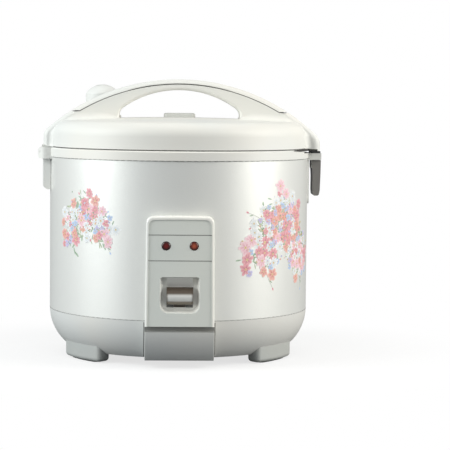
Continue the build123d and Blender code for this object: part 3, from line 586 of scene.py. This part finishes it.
profile = dome_profile(BLEND_START)
ear_breadth = round(2000 * handle_half(EAR_REACH))
print("lid profile of", len(profile), "points, handle", ear_breadth, "mm broad at the ear")

# %% [markdown]
# Rolling a ball along the corner gives the hollow: the ball touches the dome along one line and the
# handle's side along another, and the strip between the two is the blend. The ball grows over the first
# few steps, and where the handle is low, near the shoulder, it has to shrink so that it stays under the
# crest.

# %% Ball in the corner
WIDEST_BALL, LEAST_BALL, BALL_STEP = 0.007, 0.0008, 0.0001
FIRST_SHARE, GROWING_STEPS = 0.15, 14
OVER_CREST_ROUND = 0.0012
SETTLING_ROUNDS, EASING_ROUNDS = 6, 3


def ball_at(point, facing, radius):
    """Centre of a ball that touches the dome at a point and the handle's side too."""
    reach = point.x + radius * facing.x
    x = reach
    for _ in range(SETTLING_ROUNDS):
        x = math.sqrt(reach ** 2 - (handle_half(x) + radius) ** 2)
    return Vector((x, handle_half(x) + radius, point.y + radius * facing.y)), reach


def fitting_ball(point, facing, radius):
    """The largest ball up to a radius that stays under the rounded crest of the handle."""
    while radius > LEAST_BALL:
        heart, _ = ball_at(point, facing, radius)
        if heart.z < crest(heart.x) - CREST_ROUND + OVER_CREST_ROUND:
            break
        radius -= BALL_STEP
    return radius


def eased(sizes):
    """Each size drawn down to the mean of itself and its neighbours, where that is smaller."""
    calm = []
    for i, size in enumerate(sizes):
        near = sizes[max(i - 1, 0):i + 2]
        calm.append(min(size, sum(near) / len(near)))
    return calm


ball_sizes = []
for i, (point, facing) in enumerate(profile):
    share = min(1.0, FIRST_SHARE + i / GROWING_STEPS)
    ball_sizes.append(fitting_ball(point, facing, WIDEST_BALL * share))
for _ in range(EASING_ROUNDS):
    ball_sizes = eased(ball_sizes)
print("ball from", round(min(ball_sizes) * 1000, 1), "to", round(max(ball_sizes) * 1000, 1), "mm")

# %% [markdown]
# Each section of the blend is the ball's arc between its two touching points, closed behind by one point
# that is sunk into the corner. The arc is smooth and the hidden back is flat, so the edges between them
# are marked sharp.

# %% Handle blends
ARC_STEPS, SUNK_SHARE = 8, 0.35


def handle_blend(name, side, front):
    mesh = bmesh.new()
    sections = []
    for (point, facing), radius in zip(profile, ball_sizes):
        heart, reach = ball_at(point, facing, radius)
        on_dome = Vector((point.x * heart.x / reach, point.x * heart.y / reach, point.y))
        on_side = heart - Vector((0, radius, 0))
        corner = on_dome + on_side - heart
        first, last = (on_dome - heart).normalized(), (on_side - heart).normalized()
        line = [heart + radius * first.slerp(last, k / ARC_STEPS) for k in range(ARC_STEPS + 1)]
        line.append(corner + SUNK_SHARE * (corner - heart))
        sections.append([mesh.verts.new((side * v.x, front * v.y, v.z)) for v in line])
    skin(mesh, sections, smooth=ARC_STEPS)
    for edge in mesh.edges:
        edge.smooth = all(face.smooth for face in edge.link_faces)
    riding_piece(name, mesh, lid_cream_painted_shade, "lid")


SIDES = ((-1, "left"), (1, "right"))
FRONTS = ((-1, "front"), (1, "rear"))
for side, side_name in SIDES:
    for front, front_name in FRONTS:
        handle_blend(f"handle_blend_{front_name}_{side_name}", side, front)

# %% [markdown]
# Where the steel shell meets the base bowl and the rim, and where the lid closes, there is a fine shadow
# gap all the way round. A gap that narrow is quicker to show as a dark band let into the wall: a closed
# ring with a slim, slightly hollow section.

# %% Shadow gaps
SHELL_REACH = 0.135
PROUD = 0.00006
BOWL_SEAM, RIM_SEAM, LID_SEAM = (0.0477, 0.0484), (0.2052, 0.2060), (0.2158, 0.2164)
SHELL_BAND, LID_BAND = 0.0008, 0.0006
RING_STEPS, HOLLOW = 240, 0.15


def ring_band(name, reach, depth, seam, finish, body):
    mesh = bmesh.new()
    low, high = seam
    back = reach - depth
    waist = (reach - HOLLOW * depth, (low + high) / 2)
    section = ((reach, low), waist, (reach, high), (back, high), (back, low))
    sections = []
    for i in range(RING_STEPS):
        a = 2 * math.pi * i / RING_STEPS
        sections.append([mesh.verts.new((r * math.cos(a), r * math.sin(a), z)) for r, z in section])
    skin(mesh, sections, looped=True)
    riding_piece(name, mesh, finish, body)


gap_dark = moulded("gap_shadow", (0.16, 0.16, 0.155), rough=0.7)
seam_dark = moulded("seam_shadow", (0.05, 0.048, 0.045), rough=0.8)
ring_band("shell_gap", SHELL_REACH + PROUD, SHELL_BAND, BOWL_SEAM, gap_dark, "body")
ring_band("rim_gap", SHELL_REACH + PROUD, SHELL_BAND, RIM_SEAM, gap_dark, "body")
ring_band("lid_gap", LID_REACH + PROUD, LID_BAND, LID_SEAM, seam_dark, "lid")

# %% [markdown]
# The other seams are open lines, so each is a slim ribbon swept along a spine of points. On the lid the
# ribbons are painted shadow: in the seam under the handle's cap, which follows the handle's arc, and in the
# gap below the right ear.
# Under that end of the lid the rim carries a painted shadow wedge, which grows towards the latch.

# %% Seams of the lid
RIBBON_DEPTH = 0.0004
CAP_DEPTH, CAP_BEND_REACH, CAP_STEPS = 0.0052, 0.1037, 60
CAP_END_REACH, CAP_END, CAP_GAP_HEIGHT = 0.111, 0.2530, 0.0007
EAR_GAP, EAR_GAP_FROM, EAR_GAP_TO, EAR_STEPS = 0.2145, 0.1312, 0.1436, 8
EAR_PROUD, EAR_GAP_HEIGHT = 0.00005, 0.0019
WEDGE, WEDGE_REACH, WEDGE_HEIGHT = 0.2148, 0.1364, 0.0022
WEDGE_START, WEDGE_TURN, WEDGE_STEPS = 32, 21, 14
WEDGE_TIP, WEDGE_GROWTH = 0.2, 5


def ribbon(name, spine, height, finish, body):
    """A slim closed band along points that each have a direction across and a direction outward."""
    mesh = bmesh.new()
    corners = ((-1, 0), (1, 0), (1, -RIBBON_DEPTH), (-1, -RIBBON_DEPTH))
    sections = []
    for point, across, outward in spine:
        sections.append([mesh.verts.new(point + across * u * height / 2 + outward * v) for u, v in corners])
    skin(mesh, sections)
    riding_piece(name, mesh, finish, body)


def cap_spine(front):
    outward = FRONT * -front
    arc = HANDLE_ARC - CAP_DEPTH
    half = handle_half(CAP_END_REACH)
    left, right = ((Vector((side * CAP_END_REACH, front * half, CAP_END)), UP, outward) for side, _ in SIDES)
    arch = []
    for i in range(CAP_STEPS + 1):
        x = CAP_BEND_REACH * (2 * i / CAP_STEPS - 1)
        rise = math.sqrt(arc ** 2 - x * x)
        spot = Vector((x, front * handle_half(x), HANDLE_TOP - HANDLE_ARC + rise))
        arch.append((spot, Vector((x, 0, rise)).normalized(), outward))
    return [left, *arch, right]


def ear_spine(front):
    spine = []
    for i in range(EAR_STEPS + 1):
        x = EAR_GAP_FROM + (EAR_GAP_TO - EAR_GAP_FROM) * i / EAR_STEPS
        spine.append((Vector((x, front * (handle_half(x) + EAR_PROUD), EAR_GAP)), UP, FRONT * -front))
    return spine


def wedge_spine(front):
    spine = []
    for i in range(WEDGE_STEPS + 1):
        a = math.radians(WEDGE_START - WEDGE_TURN * i / WEDGE_STEPS)
        outward = Vector((math.cos(a), front * math.sin(a), 0))
        share = min(1.0, WEDGE_TIP + i / WEDGE_GROWTH)
        spine.append((outward * WEDGE_REACH + UP * WEDGE, UP * share, outward))
    return spine


# Dark ribbons of painted shadow in the lid's seams, and a painted shadow wedge on the rim.
for front, front_name in FRONTS:
    ribbon(f"cap_seam_shadow_{front_name}", cap_spine(front), CAP_GAP_HEIGHT, seam_dark, "lid")
    ribbon(f"ear_gap_shadow_{front_name}", ear_spine(front), EAR_GAP_HEIGHT, seam_dark, "lid")
    ribbon(f"rim_shadow_{front_name}", wedge_spine(front), WEDGE_HEIGHT, seam_dark, "body")

# %% [markdown]
# Below the panel the apron is a separate moulding, set into the round of the base bowl. Along the seam on
# each side of it climbs a ribbon of painted shadow, so its spine follows the quarter circle of the bowl's
# wall.

# %% Seams of the apron
BOWL_ROUND = 0.048
BOWL_FLAT = SHELL_REACH - BOWL_ROUND
APRON_HALF = 0.0351
APRON_GAP_LOW, APRON_GAP_HIGH, APRON_STEPS = 0.0096, 0.0465, 18
APRON_PROUD, APRON_GAP_WIDTH = 0.0001, 0.0009


def apron_spine(side):
    spine = []
    x = side * APRON_HALF
    for i in range(APRON_STEPS + 1):
        z = APRON_GAP_LOW + (APRON_GAP_HIGH - APRON_GAP_LOW) * i / APRON_STEPS
        lean = math.sqrt(BOWL_ROUND ** 2 - (BOWL_ROUND - z) ** 2)
        reach = BOWL_FLAT + lean
        flat = Vector((x, -math.sqrt(reach ** 2 - x * x), 0)) / reach
        outward = (flat * lean + UP * (z - BOWL_ROUND)).normalized()
        spine.append((flat * (reach + APRON_PROUD) + UP * z, Vector((-flat.y, flat.x, 0)), outward))
    return spine


for side, side_name in SIDES:
    ribbon(f"apron_gap_shadow_{side_name}", apron_spine(side), APRON_GAP_WIDTH, gap_dark, "body")

# %% [markdown]
# The panel is crossed by level lines: painted shade in the groove above the apron and on its ledge, the two
# fine lines that part the face into fields, and painted shadow under both ends of the cook lever. Each is a
# ribbon with only two points.

# %% Lines of the panel
PANEL_HALF, FACE_HALF = 0.0342, 0.0312
GROOVE, GROOVE_FRONT, GROOVE_HEIGHT = 0.0413, -0.1384, 0.0042
LEDGE, LEDGE_FRONT, LEDGE_DEPTH = 0.03895, -0.1404, 0.0038
FACE_LINES, FACE_FRONT, FACE_LINE_HEIGHT = (0.1085, 0.1338), -0.14215, 0.0006
SHADE, SHADE_FRONT, SHADE_HEIGHT = 0.0632, -0.13406, 0.0026
SHADE_FROM, SHADE_TO = 0.0061, 0.0130


def level_line(ends, y, z, across=UP, outward=FRONT):
    return [(Vector((x, y, z)), across, outward) for x in ends]


groove_painted_shade = moulded("groove_shadow", (0.27, 0.275, 0.265), rough=0.7)
panel_ends, face_ends = (-PANEL_HALF, PANEL_HALF), (-FACE_HALF, FACE_HALF)
ribbon("panel_groove", level_line(panel_ends, GROOVE_FRONT, GROOVE), GROOVE_HEIGHT, groove_painted_shade, "body")
ribbon("panel_ledge", level_line(panel_ends, LEDGE_FRONT, LEDGE, FRONT, UP), LEDGE_DEPTH, groove_painted_shade, "body")
for i, z in enumerate(FACE_LINES):
    ribbon(f"face_line_{i}", level_line(face_ends, FACE_FRONT, z), FACE_LINE_HEIGHT, gap_dark, "body")
for side, side_name in SIDES:
    shade = level_line((side * SHADE_FROM, side * SHADE_TO), SHADE_FRONT, SHADE)
    ribbon(f"lever_shadow_{side_name}", shade, SHADE_HEIGHT, gap_dark, "body")

# %% [markdown]
# Under the pot sits a sprung temperature sensor. The frame has a plain sleeve for its spring. Here the
# spring is wound from wire in the same place.

# %% Sensor spring
SPRING_WIRE, SPRING_TURNS, SPRING_TRAVEL = 0.0006, 5, 0.002
STEPS_PER_TURN, WIRE_SIDES = 24, 8


def wound_spring(name, node):
    low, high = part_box(node)
    tall = high.z - low.z
    reach = high.x - SPRING_WIRE
    mesh = bmesh.new()
    steps = STEPS_PER_TURN * SPRING_TURNS
    sections = []
    for i in range(steps + 1):
        a = 2 * math.pi * i / STEPS_PER_TURN
        outward = Vector((math.cos(a), math.sin(a), 0))
        heart = outward * reach + UP * (low.z + SPRING_WIRE + (tall - 2 * SPRING_WIRE) * i / steps)
        ring = [2 * math.pi * k / WIRE_SIDES for k in range(WIRE_SIDES)]
        round_wire = [outward * math.cos(t) + UP * math.sin(t) for t in ring]
        sections.append([mesh.verts.new(heart + SPRING_WIRE * way) for way in round_wire])
    skin(mesh, sections, smooth=WIRE_SIDES)
    piece = riding_piece(name, mesh, steel, "body")
    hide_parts(node)
    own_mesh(piece)


wound_spring("sensor_coil", "sensor_spring")

# %% [markdown]
# The shell carries a transfer print. Ours is a design of its own: loose sprays of many-petalled blossoms,
# buds, berries and leaves along a bent stem, in pink, red, white, lilac, blue and green. The ink's colour
# is stored on the corners of the mesh and read back by the material, which adds the grain of the printing
# screen.

# %% Inks
INK = {
    "rose": ((0.42, 0.03, 0.07), (0.86, 0.36, 0.42)), "coral": ((0.48, 0.05, 0.04), (0.88, 0.46, 0.38)),
    "blush": ((0.66, 0.20, 0.30), (0.92, 0.68, 0.73)), "daisy": ((0.44, 0.52, 0.56), (0.93, 0.94, 0.95)),
    "lilac": ((0.28, 0.24, 0.52), (0.60, 0.58, 0.84)), "sky": ((0.18, 0.32, 0.60), (0.52, 0.66, 0.86)),
    "leaf": ((0.06, 0.17, 0.08), (0.28, 0.44, 0.26)), "moss": ((0.18, 0.26, 0.11), (0.48, 0.55, 0.36)),
    "heart": ((0.36, 0.20, 0.07), (0.84, 0.64, 0.24)), "stem": ((0.20, 0.25, 0.17), (0.30, 0.37, 0.26)),
}
SCREEN_SCALE, WASH_SCALE = 1500.0, 160.0


def ink_on_paint():
    finish = Finish("print_ink")
    ink = finish.node("ShaderNodeVertexColor", {"layer_name": "ink"})
    screen = finish.noise(SCREEN_SCALE)
    wash = finish.noise(WASH_SCALE, 3.0)
    pale = finish.mix(0.02 + 0.20 * wash, ink, (0.84, 0.82, 0.81))
    return finish.set(
        Base_Color=finish.mix(0.12 * screen, pale, (0.9, 0.88, 0.87)),
        Roughness=0.42 + 0.1 * screen,
        Coat_Weight=0.3,
        Coat_Roughness=0.25,
        Normal=finish.bump(wash, 0.00002),
    )


ink_finish = ink_on_paint()
print("inks:", ", ".join(INK))

# %% [markdown]
# Each petal is a thin solid, drawn flat in millimetres and then rolled onto the shell's cylinder, so that
# the print bends with it. A petal is a fan from a dark base to a light rim. Later layers lie a few
# thousandths of a millimetre higher, so that a blossom covers the leaves behind it.

# %% Shapes of the print
FIRST_LIFT, LAYER_LIFT, SUNK = 0.00004, 0.000008, -0.00005
PETAL_POINTS, HEART_POINTS, BERRY_POINTS = 10, 8, 10
LEAF_BREADTH, LEAF_TIP = 0.36, 0.5
BERRY_LAYER = 44


def way(angle):
    return Vector((math.cos(angle), math.sin(angle)))


def round_rim(spot, reach, points):
    return [spot + reach * way(2 * math.pi * k / points) for k in range(points)]


class Print:
    """Collects flat inked shapes in millimetres, then rolls them onto the shell."""

    def __init__(self, azimuth, height, seed):
        self.azimuth = math.radians(azimuth)
        self.height = height
        self.rng = random.Random(seed)
        self.mesh = bmesh.new()
        self.ink = self.mesh.loops.layers.float_color.new("ink")

    def roll(self, spot, lift):
        a = self.azimuth + spot.x / 1000 / SHELL_REACH
        reach = SHELL_REACH + lift
        return self.mesh.verts.new((reach * math.sin(a), -reach * math.cos(a), self.height + spot.y / 1000))

    def shape(self, base, rim, colour, layer):
        """A thin solid fan from a base point to a rim, shaded from the dark to the light ink."""
        dark, light = INK[colour]
        lift = FIRST_LIFT + LAYER_LIFT * layer
        root = self.roll(base, lift)
        top = [self.roll(v, lift) for v in rim]
        under = [self.roll(v, SUNK) for v in rim]
        pairs = [(i, (i + 1) % len(rim)) for i in range(len(rim))]
        faces = [self.mesh.faces.new((root, top[i], top[j])) for i, j in pairs]
        faces += [self.mesh.faces.new((top[i], under[i], under[j], top[j])) for i, j in pairs]
        faces.append(self.mesh.faces.new(list(reversed(under))))
        for face in faces:
            for loop in face.loops:
                loop[self.ink] = (*(dark if loop.vert is root else light), 1.0)

    def petal(self, base, angle, length, width, colour, layer, tip=0.0):
        along = way(angle)
        across = Vector((-along.y, along.x))
        rim = []
        for i in range(PETAL_POINTS):
            t = 2 * math.pi * i / PETAL_POINTS
            far = 0.5 - 0.5 * math.cos(t)
            swell = math.sin(t) * far ** (0.25 + tip) * (1 if far < 0.5 else 1 - tip * (far - 0.5))
            rim.append(base + along * length * far + across * 0.5 * width * swell)
        self.shape(base + along * length * 0.2, rim, colour, layer)

    def blossom(self, spot, size, ink, petals, breadth, layer):
        start = self.rng.uniform(0, 2 * math.pi)
        for i in range(petals):
            turn = start + 2 * math.pi * (i + self.rng.uniform(-0.2, 0.2)) / petals
            self.petal(spot, turn, size * self.rng.uniform(0.38, 0.56), size * breadth, ink, layer + i % 2)
        self.shape(spot, round_rim(spot, 0.085 * size, HEART_POINTS), "heart", layer + 2)

    def leaf(self, spot, angle, size, colour):
        self.petal(spot, angle, size, size * LEAF_BREADTH, colour, 0, LEAF_TIP)

    def berry(self, spot, size, colour):
        shine = spot - Vector((0.1, 0.1)) * size
        self.shape(shine, round_rim(spot, 0.5 * size, BERRY_POINTS), colour, BERRY_LAYER)

    def stem(self, spots, width):
        for near, far in zip(spots, spots[1:]):
            across = Vector((near.y - far.y, far.x - near.x)).normalized() * width / 2
            outline = [near - across, far - across, far + across, near + across]
            self.shape((near + far) / 2, outline, "stem", 0)


print("petals of", PETAL_POINTS, "points, berries of", BERRY_POINTS)

# %% [markdown]
# A spray is scattered about a bent stem, with a seeded generator so that it comes out the same every
# time. Twigs and leaves come first and lie lowest, then the blossoms, which keep a little apart from each
# other, and last the berries. The left spray is small and sits beside the panel, the right one is larger
# and runs round the side.

# %% Sprays
STEM_WIDTH, TWIG_WIDTH, TWIGS, STEM_STEPS = 0.7, 0.45, 9, 8
# How far each kind strays from the stem, against the spread of its spray
STRAY = {"twig": 0.3, "leaf": 0.62, "blossom": 0.6, "berry": 0.75}
TWIG_PLACES, TWIG_CURL = (0, 0.25, 0.5, 0.75, 1), 0.25
# Leaves, berries and tries for each blossom, and how far apart two blossoms stay
LEAVES_EACH, BERRIES_EACH, TRIES_EACH, APART = 5, 2, 12, 0.27
# The lowest layer of a blossom, its number of layers, and how many blossoms lie over each other in turn
LOWEST_LAYER, LAYERS_EACH, LAYERED = 4, 3, 12
# Each flower: its ink, number of petals, breadth of a petal and size against the others
FLOWERS = (
    ("rose", 8, 0.30, 1.35), ("daisy", 12, 0.17, 1.25), ("sky", 5, 0.42, 0.75), ("coral", 6, 0.40, 1.1),
    ("blush", 9, 0.28, 1.4), ("daisy", 10, 0.20, 1.0), ("lilac", 5, 0.44, 0.7), ("rose", 5, 0.46, 0.8),
)


def bent(path):
    """A smooth line through the points of a path."""
    spots = [Vector(p) for p in path]
    smooth = []
    for i in range(len(spots) - 1):
        p0, p1, p2, p3 = (spots[max(i - 1, 0)], spots[i], spots[i + 1], spots[min(i + 2, len(spots) - 1)])
        for k in range(STEM_STEPS):
            t = k / STEM_STEPS
            smooth.append(0.5 * (2 * p1 + (p2 - p0) * t + (2 * p0 - 5 * p1 + 4 * p2 - p3) * t * t
                                 + (3 * p1 - p0 - 3 * p2 + p3) * t ** 3))
    return smooth


def spray(name, azimuth, height, seed, path, spread, blossoms, size):
    """Blossoms, leaves and berries scattered about a bent stem."""
    art = Print(azimuth, height, seed)
    rng = art.rng
    stem = bent(path)
    art.stem(stem, STEM_WIDTH)

    def near_stem(kind):
        stray = STRAY[kind]
        return stem[rng.randrange(len(stem))] + Vector((rng.gauss(0, stray), rng.gauss(0, stray))) * spread

    def any_turn():
        return rng.uniform(0, 2 * math.pi)

    for _ in range(TWIGS):
        start = near_stem("twig")
        angle = any_turn()
        far = rng.uniform(1.5, 2.4) * spread
        twig = [start + way(angle + TWIG_CURL * t) * far * t for t in TWIG_PLACES]
        art.stem(twig, TWIG_WIDTH)
        art.petal(twig[-1], angle + 0.3, 0.32 * size, 0.2 * size, rng.choice(("rose", "coral", "sky")), 3)
        art.leaf(twig[3], angle + 0.9, 0.5 * size, "leaf")
    for _ in range(blossoms * LEAVES_EACH):
        spot, turn, long = near_stem("leaf"), any_turn(), rng.uniform(0.5, 1.0) * size
        art.leaf(spot, turn, long, rng.choice(("leaf", "moss")))
    placed = []
    for _ in range(blossoms * TRIES_EACH):
        if len(placed) == blossoms:
            break
        ink, petals, breadth, scale = FLOWERS[len(placed) % len(FLOWERS)]
        spot = near_stem("blossom")
        wide = rng.uniform(0.8, 1.15) * size * scale
        if all((spot - other).length > APART * (wide + width) for other, width in placed):
            layer = LOWEST_LAYER + LAYERS_EACH * (len(placed) % LAYERED)
            art.blossom(spot, wide, ink, petals, breadth, layer)
            placed.append((spot, wide))
    for _ in range(blossoms * BERRIES_EACH):
        spot, wide = near_stem("berry"), rng.uniform(0.08, 0.18) * size
        art.berry(spot, wide, rng.choice(("rose", "coral", "lilac", "leaf", "heart")))
    riding_piece(name, art.mesh, ink_finish, "body")


left_path = ((-24, -16), (-18, 6), (-2, 12), (10, 2), (22, -8))
right_path = ((-36, -16), (-24, 12), (-4, 24), (12, 8), (20, -14), (40, -24))
spray("print_left", -43.5, 0.141, 11, left_path, 10.5, 52, 10.0)
spray("print_right", 53.0, 0.127, 5, right_path, 15.0, 110, 11.0)
